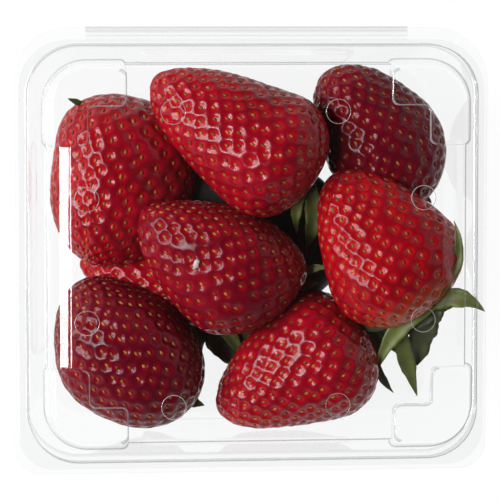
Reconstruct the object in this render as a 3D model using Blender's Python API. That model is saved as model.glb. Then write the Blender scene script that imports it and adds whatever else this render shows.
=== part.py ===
"""A punnet of strawberries: a shut, clear clamshell of thin formed plastic with eight ripe berries in it.

The tub stands on its floor at z = 0. X runs along the hinge, +Y points to the hinge at the back, +Z is up.
Lengths are in millimetres up to the point where a mesh is written, which is in metres.
"""

import math

import bmesh
import bpy
import numpy as np

MM = 0.001

# Tub
WALL = 0.55
TUB_FLOOR_X, TUB_FLOOR_Y = 49.8, 46.0
TUB_MOUTH_X, TUB_MOUTH_Y = 56.6, 51.4
TUB_MOUTH_RADIUS = 12.8
TUB_FLOOR_RADIUS = 10.0
FLANGE_TOP = 36.0
FLANGE_THICKNESS = 0.5
FLANGE_X, FLANGE_Y = 60.0, 56.2
FLANGE_BACK_RADIUS, FLANGE_FRONT_RADIUS = 14.0, 7.0

# Sunk panels in the four walls of the tub
PANEL_SINK = 0.8
PANEL_BOTTOM, PANEL_TOP = 6.0, 28.0
PANEL_HALF = 27.0
PANEL_SLOPE = 1.2

# Lid
LID_GAP = 0.4
LID_FLANGE_X = 59.0
LID_FLANGE_BACK, LID_FLANGE_FRONT = 53.2, -53.8
LID_FRONT_RADIUS = 9.0
RING_X, RING_Y = 57.3, 52.1
RING_RADIUS = 12.8
SHOULDER_RISE = 6.0
STEP_X, STEP_Y = 52.8, 47.5
STEP_RADIUS = 11.5
TOP_RISE = 10.0
SLOPE_WIDTH = 4.6

# L-shaped stacking lugs on the lid's corners
LUG_X, LUG_Y = 53.3, 48.5
LUG_RADIUS = 11.0
LUG_ARM_X, LUG_ARM_Y = 11.2, 11.6
LUG_LENGTH = 20.6
LUG_RISE = 12.8
LUG_DRAFT = 1.8
LUG_INNER_DRAFT = 0.5
LUG_FILLET = 1.6

# Vent holes in the lid
VENT_RADIUS = 3.05
VENTS_BACK_Y, VENTS_FRONT_Y, VENTS_END_X = 35.4, -38.2, 20.6
VENTS_SIDE_X, VENTS_SIDE_BACK_Y, VENTS_SIDE_FRONT_Y = 42.1, 13.8, -16.9

# Hinge at the back
HINGE_HALF = 41.0
HINGE_BEAD_Y = 54.8
HINGE_BEAD_RADIUS = 0.7

CORNER_STEPS = 5
BERRY_SIDES, BERRY_RINGS = 14, 10


def material(name, colour, roughness, alpha=1.0):
    made = bpy.data.materials.new(name)
    made.use_nodes = True
    surface = made.node_tree.nodes["Principled BSDF"]
    surface.inputs["Base Color"].default_value = (*colour, 1.0)
    surface.inputs["Roughness"].default_value = roughness
    surface.inputs["Metallic"].default_value = 0.0
    surface.inputs["Alpha"].default_value = alpha
    return made


def mesh_object(name, points, faces, collection):
    """A closed mesh from points in millimetres, its faces turned outwards."""
    mesh = bpy.data.meshes.new(name)
    shape = bmesh.new()
    corners = [shape.verts.new([c * MM for c in point]) for point in points]
    for face in faces:
        shape.faces.new([corners[i] for i in face])
    bmesh.ops.recalc_face_normals(shape, faces=shape.faces)
    shape.to_mesh(mesh)
    shape.free()
    made = bpy.data.objects.new(name, mesh)
    collection.objects.link(made)
    return made


def loft(name, sections, collection):
    """A closed body through sections that have the same number of points each."""
    count = len(sections[0])
    points = [point for section in sections for point in section]
    faces = [list(range(count)), list(range(len(points) - count, len(points)))]
    for level in range(len(sections) - 1):
        for i in range(count):
            j = (i + 1) % count
            a, b = level * count, (level + 1) * count
            faces.append([a + i, a + j, b + j, b + i])
    return mesh_object(name, points, faces, collection)


def rectangle(half_x, back, front, back_radius, front_radius, z, sink=0.0):
    """A rounded rectangle, anticlockwise from the right side, with the four points of a sunk panel on each side."""
    corners = (
        (half_x - back_radius, back - back_radius, back_radius, 0),
        (-half_x + back_radius, back - back_radius, back_radius, 90),
        (-half_x + front_radius, front + front_radius, front_radius, 180),
        (half_x - front_radius, front + front_radius, front_radius, 270),
    )
    sides = (
        ((half_x, 0), (-1, 0), (0, 1)),
        ((0, back), (0, -1), (-1, 0)),
        ((-half_x, 0), (1, 0), (0, -1)),
        ((0, front), (0, 1), (1, 0)),
    )
    points = []
    for (middle, inward, along), (x, y, radius, start) in zip(sides, corners):
        outer = PANEL_HALF + PANEL_SLOPE
        for distance, depth in ((-outer, 0), (-PANEL_HALF, sink), (PANEL_HALF, sink), (outer, 0)):
            px = middle[0] + along[0] * distance + inward[0] * depth
            py = middle[1] + along[1] * distance + inward[1] * depth
            points.append((px, py, z))
        for step in range(CORNER_STEPS + 1):
            angle = math.radians(start + 90 * step / CORNER_STEPS)
            points.append((x + radius * math.cos(angle), y + radius * math.sin(angle), z))
    return points


def even_rectangle(half_x, half_y, radius, z, sink=0.0):
    return rectangle(half_x, half_y, -half_y, radius, radius, z, sink)


def tub_section(z, inset, sink=0.0):
    """The tub's wall at height z, which leans out from the floor to the mouth."""
    share = z / FLANGE_TOP
    half_x = TUB_FLOOR_X + (TUB_MOUTH_X - TUB_FLOOR_X) * share - inset
    half_y = TUB_FLOOR_Y + (TUB_MOUTH_Y - TUB_FLOOR_Y) * share - inset
    radius = TUB_FLOOR_RADIUS + (TUB_MOUTH_RADIUS - TUB_FLOOR_RADIUS) * share - inset
    return even_rectangle(half_x, half_y, radius, z, sink)


def build_tub(collection):
    """One closed skin: up the outside, round the flange and down the inside."""
    heights = (
        (2.0, 0.0),
        (PANEL_BOTTOM, 0.0),
        (PANEL_BOTTOM + PANEL_SLOPE, PANEL_SINK),
        (PANEL_TOP - PANEL_SLOPE, PANEL_SINK),
        (PANEL_TOP, 0.0),
    )
    under = FLANGE_TOP - FLANGE_THICKNESS
    flange = (FLANGE_X, FLANGE_Y, -FLANGE_Y, FLANGE_BACK_RADIUS, FLANGE_FRONT_RADIUS)
    outside = [tub_section(0.0, 1.8)]
    outside += [tub_section(0.6, 0.5)]
    outside += [tub_section(z, 0.0, sink) for z, sink in heights]
    outside += [tub_section(under, 0.0)]
    rim = [rectangle(*flange, under), rectangle(*flange, FLANGE_TOP)]
    inside = [tub_section(FLANGE_TOP, WALL)]
    inside += [tub_section(z, WALL, sink) for z, sink in reversed(heights)]
    inside += [tub_section(1.1, WALL + 0.4)]
    inside += [tub_section(WALL, WALL + 1.6)]
    return loft("tub", outside + rim + inside, collection)


def lug_outline(inset, inner_inset, z):
    """The plan of the lug at +X, +Y, with its two arms' ends and the notch between them rounded."""
    right, back = LUG_X - inset, LUG_Y - inset
    radius = LUG_RADIUS - inset
    left, front = LUG_X - LUG_LENGTH + inner_inset, LUG_Y - LUG_LENGTH + inner_inset
    notch_x, notch_y = LUG_X - LUG_ARM_X + inner_inset, LUG_Y - LUG_ARM_Y + inner_inset
    # Each turn: its centre, its radius, the angle it starts at, the angle it sweeps
    f = LUG_FILLET
    turns = (
        (right - radius, back - radius, radius, 0, 90, CORNER_STEPS),
        (left + f, back - f, f, 90, 90, 2),
        (left + f, notch_y + f, f, 180, 90, 2),
        (notch_x - f, notch_y - f, f, 90, -90, 2),
        (notch_x + f, front + f, f, 180, 90, 2),
        (right - f, front + f, f, 270, 90, 2),
    )
    points = []
    for x, y, r, start, sweep, steps in turns:
        for step in range(steps + 1):
            angle = math.radians(start + sweep * step / steps)
            points.append((x + r * math.cos(angle), y + r * math.sin(angle), z))
    return points


def lid_envelope(name, base, inset, drop, collection):
    """The outside (inset 0) or the hollow (inset of one wall) of the lid, with its four lugs, as parts to join."""
    z = base - drop
    foot = z if drop else z + FLANGE_THICKNESS / 2
    rings = (
        (foot - drop, RING_X + 0.6, RING_Y + 0.6, RING_RADIUS + 0.6),
        (z + SHOULDER_RISE - 0.7, RING_X, RING_Y, RING_RADIUS),
        (z + SHOULDER_RISE, RING_X - 0.7, RING_Y - 0.7, RING_RADIUS - 0.7),
        (z + SHOULDER_RISE, STEP_X + 0.4, STEP_Y + 0.4, STEP_RADIUS + 0.4),
        (z + SHOULDER_RISE + 2.4, STEP_X - 0.4, STEP_Y - 0.4, STEP_RADIUS - 0.4),
        (z + TOP_RISE, STEP_X - SLOPE_WIDTH, STEP_Y - SLOPE_WIDTH, STEP_RADIUS - 3.0),
    )
    sections = [even_rectangle(x - inset, y - inset, r - inset, h) for h, x, y, r in rings]
    loft(name, sections, collection)
    for number, (side_x, side_y) in enumerate(((1, 1), (-1, 1), (-1, -1), (1, -1))):
        levels = (
            (z + SHOULDER_RISE - 1.0, 0.0, 0.0),
            (z + LUG_RISE - 0.8, LUG_DRAFT * 0.75, LUG_INNER_DRAFT),
            (z + LUG_RISE, LUG_DRAFT + 0.4, LUG_INNER_DRAFT + 0.6),
        )
        outlines = [lug_outline(inset + out, inset + inner, h) for h, out, inner in levels]
        sides = [[(x * side_x, y * side_y, h) for x, y, h in outline] for outline in outlines]
        loft(f"{name}_lug_{number}", sides, collection)


def cylinder(name, x, y, bottom, top, radius, sides, collection):
    rings = []
    for z in (bottom, top):
        angles = [2 * math.pi * (i + 0.5) / sides for i in range(sides)]
        rings.append([(x + radius * math.cos(a), y + radius * math.sin(a), z) for a in angles])
    return loft(name, rings, collection)


def box(name, low, high, collection):
    rings = []
    for z in (low[2], high[2]):
        rings.append([(low[0], low[1], z), (high[0], low[1], z), (high[0], high[1], z), (low[0], high[1], z)])
    return loft(name, rings, collection)


def bead(name, z, bulge, collection):
    """The hinge's rounded ridge, along X, as half of an eight-sided bar set into the flange."""
    rings = []
    for x in (-HINGE_HALF + 1.5, HINGE_HALF - 1.5):
        arc = [math.pi * i / 4 for i in range(5)]
        ring = [
            (x, HINGE_BEAD_Y + HINGE_BEAD_RADIUS * math.cos(a), z + bulge * HINGE_BEAD_RADIUS * math.sin(a))
            for a in arc
        ]
        rings.append(ring)
    return loft(name, rings, collection)


def apply_boolean(target, collection, operation):
    """Joins a collection to the target, or cuts it from the target, and removes the collection's objects."""
    change = target.modifiers.new("Join", "BOOLEAN")
    change.operand_type = "COLLECTION"
    change.collection = collection
    change.operation = operation
    change.solver = "MANIFOLD"
    graph = bpy.context.evaluated_depsgraph_get()
    changed = bpy.data.meshes.new_from_object(target.evaluated_get(graph))
    target.modifiers.clear()
    target.data = changed
    for helper in list(collection.objects):
        bpy.data.objects.remove(helper, do_unlink=True)


def hide_helpers(collection):
    for helper in collection.objects:
        helper.hide_render = True
        helper.display_type = "WIRE"


def build_lid(collection, helpers):
    under = FLANGE_TOP + LID_GAP
    top = under + FLANGE_THICKNESS
    plan = (LID_FLANGE_X, LID_FLANGE_BACK, LID_FLANGE_FRONT, FLANGE_BACK_RADIUS - 1.0, LID_FRONT_RADIUS)
    lid = loft("lid", [rectangle(*plan, under), rectangle(*plan, top)], collection)
    box("hinge_tab", (-HINGE_HALF, LID_FLANGE_BACK - 2.0, under), (HINGE_HALF, FLANGE_Y, top), helpers)
    bead("hinge_bead", top - 0.1, 1, helpers)
    lid_envelope("outside", under, 0.0, 0.0, helpers)
    hide_helpers(helpers)
    apply_boolean(lid, helpers, "UNION")
    lid_envelope("hollow", under, WALL, WALL, helpers)
    vents = [(side * VENTS_END_X, y) for side in (-1, 1) for y in (VENTS_BACK_Y, VENTS_FRONT_Y)]
    vents += [(side * VENTS_SIDE_X, y) for side in (-1, 1) for y in (VENTS_SIDE_BACK_Y, VENTS_SIDE_FRONT_Y)]
    for number, (x, y) in enumerate(vents):
        cylinder(f"vent_{number}", x, y, under + 7.0, under + TOP_RISE + 1.0, VENT_RADIUS, 10, helpers)
    hide_helpers(helpers)
    apply_boolean(lid, helpers, "DIFFERENCE")
    return lid


# Berries: the calyx end and the tip, half-widths on the right and left hand of someone who looks from
# calyx to tip, half-thickness, the share of the length at which it is widest, and how blunt its two ends are.
BERRIES = {
    "back_left": ((-33.0, 38.0, 18.5), (-38.5, -6.5, 16.5), 14.8, 19.5, 16.2, 0.42, 3.2, 2.3),
    "back_middle": ((18.7, 18.8, 28.8), (-24.8, 43.2, 27.6), 15.4, 18.7, 16.0, 0.27, 1.8, 1.2),
    "back_right": ((45.7, 10.6, 18.0), (20.7, 44.2, 20.5), 16.4, 12.1, 14.6, 0.49, 2.2, 1.2),
    "middle": ((16.1, -8.6, 26.0), (-26.9, 10.0, 27.0), 10.2, 22.4, 15.0, 0.43, 1.9, 1.2),
    "right": ((43.2, -18.0, 31.4), (21.0, 18.9, 30.2), 20.1, 15.6, 14.0, 0.35, 2.1, 1.2),
    "front_left": ((-14.6, -42.2, 19.5), (-45.4, -10.6, 20.5), 15.9, 18.7, 17.2, 0.51, 2.2, 1.7),
    "front_middle": ((31.5, -21.8, 21.5), (-7.2, -42.5, 20.0), 16.6, 17.6, 16.0, 0.32, 2.5, 1.2),
    "left": ((-4.0, -15.5, 13.5), (-42.0, -4.5, 12.5), 10.6, 9.0, 10.4, 0.34, 2.3, 1.6),
}

# Leaves of the berries' crowns that show: where each starts, its bend, its tip and its greatest half-width.
LEAVES = (
    ((42.5, -14.5, 30.5), (49.5, -11.5, 34.5), (54.6, -13.4, 35.4), 1.9),
    ((45.0, 1.5, 30.0), (53.5, -1.0, 31.0), (53.0, -9.0, 30.5), 1.0),
    ((42.5, -16.5, 29.0), (43.5, -23.0, 26.0), (40.5, -29.5, 22.0), 3.6),
    ((40.0, -19.0, 28.0), (39.5, -28.0, 24.0), (43.0, -37.5, 21.0), 1.9),
    ((43.0, -17.5, 31.0), (35.0, -22.5, 28.5), (31.5, -30.5, 25.0), 2.1),
    ((29.0, -22.5, 20.5), (33.5, -26.5, 22.5), (36.5, -36.5, 20.0), 1.5),
    ((15.0, 17.0, 25.0), (12.8, 10.5, 24.5), (11.0, 4.0, 22.0), 1.6),
    ((18.0, 17.0, 24.0), (17.0, 9.0, 22.0), (15.5, 2.0, 20.0), 2.4),
    ((18.0, 36.0, 26.0), (20.0, 30.0, 28.0), (20.0, 22.0, 27.0), 1.2),
    ((12.0, -9.0, 27.0), (15.0, -6.5, 27.5), (19.0, -5.5, 27.0), 1.7),
    ((6.0, -16.0, 22.0), (3.0, -20.0, 20.0), (0.0, -22.5, 18.0), 1.8),
    ((-17.0, -39.0, 18.0), (-14.5, -41.5, 19.0), (-11.5, -42.0, 20.0), 1.4),
    ((-9.0, -14.0, 13.5), (-7.5, -24.0, 13.0), (-4.0, -31.5, 8.5), 4.0),
    ((-41.0, 36.0, 20.0), (-44.0, 37.5, 21.0), (-46.0, 38.0, 21.5), 0.9),
)
LEAF_THICKNESS = 0.5
LEAF_STATIONS = 5

CORE_CENTRE = (2.0, -1.0, 13.0)
CORE_RADII = (30.0, 22.0, 10.0)


def berry_sections(calyx, tip, right, left, thick, widest, blunt_calyx, blunt_tip):
    """Rings from the calyx end to the tip. Each is an oval, wider on one side where the berry is lopsided."""
    calyx, tip = np.array(calyx), np.array(tip)
    axis = tip - calyx
    along = axis / np.linalg.norm(axis)
    # Points to the right hand of someone who looks from the calyx to the tip.
    across = np.cross(along, (0.0, 0.0, 1.0))
    across /= np.linalg.norm(across)
    up = np.cross(across, along)
    rings = []
    for step in range(BERRY_RINGS + 1):
        share = 0.5 - 0.5 * math.cos(math.pi * (0.06 + 0.88 * step / BERRY_RINGS))
        if share < widest:
            reach = ((widest - share) / widest) ** blunt_calyx
        else:
            reach = ((share - widest) / (1 - widest)) ** blunt_tip
        size = math.sqrt(max(1 - reach, 0.0))
        ring = []
        for side in range(BERRY_SIDES):
            angle = 2 * math.pi * side / BERRY_SIDES
            width = right if math.cos(angle) > 0 else left
            point = calyx + share * axis
            point = point + across * width * size * math.cos(angle)
            point = point + up * thick * size * math.sin(angle)
            ring.append(tuple(point))
        rings.append(ring)
    return rings


def leaf_blade(name, start, bend, tip, half_width, collection):
    """A thin blade along a curve through three points, creased along its middle and pointed at its tip."""
    start, bend, tip = np.array(start), np.array(bend), np.array(tip)
    points = []
    for station in range(LEAF_STATIONS):
        t = station / (LEAF_STATIONS - 1)
        centre = (1 - t) ** 2 * start + 2 * t * (1 - t) * bend + t**2 * tip
        direction = 2 * (1 - t) * (bend - start) + 2 * t * (tip - bend)
        across = np.cross(direction, (0.0, 0.0, 1.0))
        across /= np.linalg.norm(across)
        width = half_width * (0.25 + 0.75 * math.sin(math.pi * min(t * 1.15 + 0.08, 1.0)) ** 0.7)
        wave = 0.35 * math.sin(2.6 * math.pi * t)
        for offset in (-1, 0, 1):
            lift = 0.35 * abs(offset) + wave * offset
            middle = centre + across * width * offset + np.array((0, 0, lift))
            points.append(tuple(middle + (0, 0, LEAF_THICKNESS / 2)))
            points.append(tuple(middle - (0, 0, LEAF_THICKNESS / 2)))
    faces = []
    for station in range(LEAF_STATIONS - 1):
        a, b = 6 * station, 6 * (station + 1)
        for strip in (0, 2):
            for face in (0, 1):
                i, j = a + strip + face, a + strip + 2 + face
                k, l = b + strip + 2 + face, b + strip + face
                faces += [[i, j, k], [i, k, l]]
        for edge in (0, 4):
            faces.append([a + edge, a + edge + 1, b + edge + 1, b + edge])
    last = 6 * (LEAF_STATIONS - 1)
    for end in (0, last):
        faces.append([end, end + 2, end + 3, end + 1])
        faces.append([end + 2, end + 4, end + 5, end + 3])
    return mesh_object(name, points, faces, collection)


def build_heap(collection, helpers):
    """The berries and the leaves that show, fused over a smaller core that fills the hidden middle."""
    rings = []
    for step in range(1, 8):
        polar = math.pi * step / 8
        ring = []
        for side in range(12):
            turn = 2 * math.pi * side / 12
            x = CORE_CENTRE[0] + CORE_RADII[0] * math.sin(polar) * math.cos(turn)
            y = CORE_CENTRE[1] + CORE_RADII[1] * math.sin(polar) * math.sin(turn)
            ring.append((x, y, CORE_CENTRE[2] + CORE_RADII[2] * math.cos(polar)))
        rings.append(ring)
    heap = loft("strawberries", rings, collection)
    for name, sizes in BERRIES.items():
        loft(name, berry_sections(*sizes), helpers)
    for number, (start, bend, tip, half_width) in enumerate(LEAVES):
        leaf_blade(f"leaf_{number}", start, bend, tip, half_width, helpers)
    hide_helpers(helpers)
    apply_boolean(heap, helpers, "UNION")
    return heap


def main():
    for obj in list(bpy.data.objects):
        bpy.data.objects.remove(obj, do_unlink=True)
    parts = bpy.data.collections.new("strawberry_punnet")
    helpers = bpy.data.collections.new("strawberry_punnet_helpers")
    bpy.context.scene.collection.children.link(parts)
    bpy.context.scene.collection.children.link(helpers)
    plastic = material("clear_plastic", (0.93, 0.95, 0.95), 0.08, 0.3)
    fruit = material("ripe_berry", (0.42, 0.012, 0.018), 0.28)
    build_tub(parts).data.materials.append(plastic)
    build_lid(parts, helpers).data.materials.append(plastic)
    build_heap(parts, helpers).data.materials.append(fruit)


main()
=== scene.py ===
"""The clear clamshell punnet of strawberries, dressed for the render.

Lengths are in millimetres until a mesh is written. Lights and the camera are placed in metres.
"""

import math

import bmesh
import bpy
import numpy as np
from mathutils import Matrix, Vector


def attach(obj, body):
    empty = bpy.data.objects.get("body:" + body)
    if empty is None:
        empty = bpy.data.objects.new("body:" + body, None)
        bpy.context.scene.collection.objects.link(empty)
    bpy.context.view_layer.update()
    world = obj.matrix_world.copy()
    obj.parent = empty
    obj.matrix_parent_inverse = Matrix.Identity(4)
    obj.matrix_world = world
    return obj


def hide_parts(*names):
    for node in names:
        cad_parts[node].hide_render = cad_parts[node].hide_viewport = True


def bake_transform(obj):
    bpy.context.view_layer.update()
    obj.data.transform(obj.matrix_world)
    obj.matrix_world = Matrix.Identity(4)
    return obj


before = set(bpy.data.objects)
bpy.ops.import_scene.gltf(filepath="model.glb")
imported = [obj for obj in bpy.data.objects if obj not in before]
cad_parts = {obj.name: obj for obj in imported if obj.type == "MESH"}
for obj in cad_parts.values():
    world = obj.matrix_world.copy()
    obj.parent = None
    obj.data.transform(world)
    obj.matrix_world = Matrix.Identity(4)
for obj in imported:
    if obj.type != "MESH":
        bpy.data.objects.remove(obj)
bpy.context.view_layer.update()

MM = 0.001

# Tub, as in the part's source
TUB_FLOOR = (49.8, 46.0)
TUB_MOUTH = (56.6, 51.4)
TUB_RADII = (10.0, 12.8)
TUB_UNDER, TUB_EDGE, TUB_ROUNDING = 0.3, 3.6, 0.5
TUB_WALL_START, TUB_WALL_ROWS = 4.4, 44
FLANGE_TOP = 36.0
FLANGE = (60.0, 56.2)
FLANGE_RADII = (14.0, 7.0)
PANEL_SINK, PANEL_HALF = 0.8, 27.6
PANEL_BOTTOM, PANEL_TOP = 6.0, 28.0
PANEL_CORNER, PANEL_EDGE = 4.0, 1.5
# The tub's flange: how far in from its edge, how far down, and whether the sheet bends there, which paints a
# grey line of shade
TUB_LIP = ((1.0, 0.0, False), (0.3, 0.0, False), (0.08, 0.03, True), (0.0, 0.12, True), (0.0, 0.4, True))

# Lid. A plan of three numbers is the half-width, the back and the front.
LID_UNDER, SHEET_MIDDLE = 36.4, 0.25
LID_FLANGE = (59.0, 53.2, -54.9)
LID_RADII = (13.0, 9.0)
LID_COUNTS = {"corner": 16, "side": 6}
LID_LIP = ((0.4, 0.0), (0.1, 0.02), (0.0, 0.1), (0.0, 0.26))
RING = (56.75, 52.1, -52.7)
RING_RADIUS, RING_FOOT = 12.8, 0.3
STEP = (52.8, 47.5)
STEP_SHIFT = 0.57
SHOULDER_RISE, TOP_RISE = 6.0, 10.0
SHOULDER_ROUNDING, SHOULDER_INSET = 0.3, 0.14
# Levels of the lid's wall and step, from the bottom up: how far in, how high, and whether they bend, which
# paints a grey line of shade there
WALL_LEVELS = (
    (-0.3, -1.2, False),
    (-0.3, 0.0, False),
    (-0.1, 0.03, True),
    (0.0, 0.12, True),
    (0.02, 0.3, False),
    (0.12, SHOULDER_RISE - 0.4, False),
)
STEP_LEVELS = (
    # Foot on the shoulder
    (-0.6, 0.0, False),
    (-0.14, 0.0, True),
    (0.0, 0.05, True),
    (0.08, 0.2, True),
    (0.1, 0.45, False),
    # Upper edge
    (0.3, 2.1, False),
    (0.34, 2.28, True),
    (0.44, 2.42, True),
    (0.6, 2.48, True),
    (0.8, 2.5, False),
    # Sloped band up to the top
    (3.2, 2.75, False),
    (3.6, 2.86, False),
    (6.0, 3.79, False),
    (6.5, 3.98, False),
    (7.6, 4.02, False),
)
LUG = (53.8, 48.7)
LUG_LENGTH, LUG_ARMS = 20.9, (11.4, 11.6)
BACK_LUG_EXTRA = 0.5
LUG_RADIUS, LUG_FILLET = 11.0, 1.7
# Levels of a lug: how high, how far in on its outer side and on its inner side, and the bend, which paints a
# grey line of shade there
LUG_LEVELS = (
    (5.0, -0.25, -0.25, False),
    (6.02, -0.25, -0.25, True),
    (6.06, -0.08, -0.08, True),
    (6.25, 0.06, 0.0, True),
    (6.5, 0.1, 0.02, False),
    (11.6, 1.5, 0.12, False),
    (12.2, 1.75, 0.16, False),
    (12.5, 2.0, 0.2, "notch"),
    (12.7, 2.3, 0.32, "notch"),
    (12.8, 2.75, 0.58, "notch"),
    (12.82, 3.1, 0.8, False),
)
# The stretch of a lug's outline where a notch bend shows its painted grey line
NOTCH_FIRST, NOTCH_LAST = 15, 41
LUG_SHIFTS = {(1, 1): (0.6, -0.4), (-1, 1): (0.9, -0.5), (-1, -1): (1.1, -0.25), (1, -1): (1.3, -0.7)}
VENT_RADIUS, VENT_SIDES = 3.05, 48
VENT_ROLL, VENT_ROLL_SIDES, VENT_ROLL_RISE = (0.09, 0.11), 6, 0.02
VENT_CUT_BELOW, VENT_CUT_ABOVE = 2.5, 1.5
VENTS = [(side * 20.6, y) for side in (-1, 1) for y in (35.4, -38.2)]
VENTS += [(side * 42.1, y) for side in (-1, 1) for y in (13.8, -16.9)]
HINGE_HALF, HINGE_SHIFT, HINGE_BEAD_Y = 40.6, -1.2, 54.8
HINGE_RISE, HINGE_BEAD = 0.26, (0.7, 0.55)
# The tab's flat end behind the bead, the fold's middle and radii, and where it meets the tub's flange
TAB_END, FOLD, FOLD_RADII, FOLD_FOOT = (55.8, 56.0), (56.1, 36.36), (0.3, 0.27), (54.9, 36.05)
# Steps of the bead's arc that count as bends and take a painted grey line of shade, two on each side
BEAD_BENDS = (0, 1, 6, 7)

# Berries: calyx end, tip, half-widths to the right and left of a walk from calyx to tip, half-thickness,
# where it is widest, how blunt its two ends are, and the number that seeds its unevenness.
BERRIES = {
    "back_left": ((-32.0, 39.0, 18.0), (-37.4, -5.2, 15.5), 15.1, 22.0, 15.2, 0.43, 3.2, 2.7, 11),
    "back_middle": ((18.7, 18.8, 28.8), (-24.8, 43.2, 27.6), 15.4, 18.7, 16.0, 0.27, 1.8, 1.2, 12),
    "back_right": ((45.7, 10.6, 18.0), (20.7, 44.2, 20.5), 16.4, 14.2, 14.6, 0.49, 2.2, 1.3, 13),
    "middle": ((14.6, -8.2, 25.5), (-27.9, 9.6, 30.5), 11.0, 21.7, 14.4, 0.42, 1.9, 1.3, 14),
    "right": ((43.2, -18.0, 31.4), (21.0, 18.9, 30.2), 20.1, 15.6, 14.0, 0.35, 2.1, 1.2, 15),
    "front_left": ((-14.6, -42.2, 19.5), (-45.4, -10.6, 20.5), 15.9, 18.7, 17.2, 0.51, 2.2, 1.7, 16),
    "front_middle": ((31.5, -21.8, 21.5), (-7.2, -42.5, 20.0), 16.6, 17.6, 16.0, 0.32, 2.5, 1.2, 17),
    "left": ((-4.0, -15.5, 13.5), (-42.0, -4.5, 12.5), 10.6, 9.0, 10.4, 0.34, 2.3, 1.6, 18),
}
PIT_DEPTH, PIT_RADIUS, SEED_SPACING = 0.5, 1.85, 3.8
SWELL, SWELL_FROM, SWELL_TO = 0.08, 1.5, 2.1
SEED_PROUD = 0.12
SEED_SIZE, SEED_SPREAD, SEED_SIDES = (0.66, 0.41, 0.3), (0.85, 1.15), 7
SCUFF_PLACE = (-14.4, -3.0)
# Rows along a berry and columns round it
QUICK_GRID, FULL_GRID = (70, 130), (130, 230)

# The core that stands for the hidden middle of the heap; its near-black colour is painted shade for the gaps
# between the berries
CORE_CENTRE = (0.5, 2.0, 13.5)
CORE_RADII = (28.0, 21.0, 5.5)

# Camera and lights, in metres. A light is its place, aim, width, height and power in watts.
CAMERA_PLACE, CAMERA_AIM = (-0.0780, 0.0625, 0.800), (-0.00045, 0.00015, 0.036)
CAMERA_LENS, CAMERA_SENSOR = 219.9, 36.0
LIGHTS = {
    "left_window": ((-0.72, 0.16, 0.5), (0, 0, 0.03), 0.46, 0.46, 9.3),
    "left_strip": ((-0.543, -0.075, 0.795), (-0.048, 0, 0.046), 0.36, 0.16, 5.4),
    "right_window": ((0.8, 0.35, 0.6), (0, 0, 0.03), 0.9, 0.7, 1.5),
}
# Brightness of the surroundings, from the horizon and below it up to overhead
SKY = ((0.0, 0.75), (0.2, 0.4), (0.5, 0.06), (0.85, 0.02), (1.0, 0.02))
FLOOR_HALF = 1500.0


def material(name):
    made = bpy.data.materials.new(name)
    made.use_nodes = True
    made.node_tree.nodes.clear()
    return made


def node(mat, kind, **values):
    made = mat.node_tree.nodes.new(kind)
    for key, value in values.items():
        if key in made.inputs:
            made.inputs[key].default_value = value
        else:
            setattr(made, key, value)
    return made


def wire(mat, *pairs):
    for source, target in pairs:
        mat.node_tree.links.new(source, target)


def ramp(mat, stops):
    made = mat.node_tree.nodes.new("ShaderNodeValToRGB")
    elements = made.color_ramp.elements
    while len(elements) < len(stops):
        elements.new(0.5)
    for element, (place, colour) in zip(elements, stops):
        element.position = place
        element.color = (*colour, 1.0)
    return made


def mesh_object(name, points, faces, mat=None):
    """A smooth-shaded object from points in millimetres."""
    mesh = bpy.data.meshes.new(name)
    mesh.from_pydata([tuple(c * MM for c in point) for point in points], [], faces)
    mesh.validate()
    mesh.update()
    mesh.polygons.foreach_set("use_smooth", [True] * len(mesh.polygons))
    made = bpy.data.objects.new(name, mesh)
    bpy.context.scene.collection.objects.link(made)
    if mat:
        mesh.materials.append(mat)
    return made


def ring(half_x, back, front, back_radius, front_radius, z, corner=14, side=40):
    """A rounded rectangle, anticlockwise, with the same number of points whatever its size."""
    corners = (
        (half_x - back_radius, back - back_radius, back_radius, 0),
        (-half_x + back_radius, back - back_radius, back_radius, 90),
        (-half_x + front_radius, front + front_radius, front_radius, 180),
        (half_x - front_radius, front + front_radius, front_radius, 270),
    )
    points = []
    for number, (x, y, radius, start) in enumerate(corners):
        arc = []
        for step in range(corner + 1):
            angle = math.radians(start + 90 * step / corner)
            arc.append((x + radius * math.cos(angle), y + radius * math.sin(angle)))
        points += arc
        nx, ny, nr, nstart = corners[(number + 1) % 4]
        end = (nx + nr * math.cos(math.radians(nstart)), ny + nr * math.sin(math.radians(nstart)))
        for step in range(1, side):
            share = step / side
            points.append(tuple(a + (b - a) * share for a, b in zip(arc[-1], end)))
    return [(x, y, z) for x, y in points]


def even_ring(half_x, half_y, radius, z, **counts):
    return ring(half_x, half_y, -half_y, radius, radius, z, **counts)


def loft_faces(count, levels, start=0):
    faces = []
    for level in range(levels - 1):
        a, b = start + level * count, start + (level + 1) * count
        for i in range(count):
            j = (i + 1) % count
            faces.append((a + i, a + j, b + j, b + i))
    return faces


def smoothstep(low, high, value):
    share = np.clip((value - low) / (high - low), 0.0, 1.0)
    return share * share * (3 - 2 * share)


# How much of the light a sheet lets through, from seen straight on to seen edge on
PANE = ((0.0, 0.99), (0.5, 0.985), (0.8, 0.975), (0.9, 0.9), (1.0, 0.6))
LID_PANE = ((0.0, 0.987), (0.5, 0.98), (0.78, 0.95), (0.9, 0.74), (1.0, 0.45))
# BEND_PAINTED_SHADE and SOFT_BEND_PAINTED_SHADE tint the sheet's bends darker: painted shade that draws thin
# grey lines along the folds
BEND_PAINTED_SHADE = ((0.0, 0.72), (0.35, 0.46), (0.75, 0.36), (1.0, 0.46))
FLANGE_PANE = ((0.0, 0.962), (0.5, 0.95), (0.8, 0.88), (1.0, 0.7))
SOFT_BEND_PAINTED_SHADE = ((0.0, 0.95), (0.35, 0.88), (0.75, 0.78), (1.0, 0.8))

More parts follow.
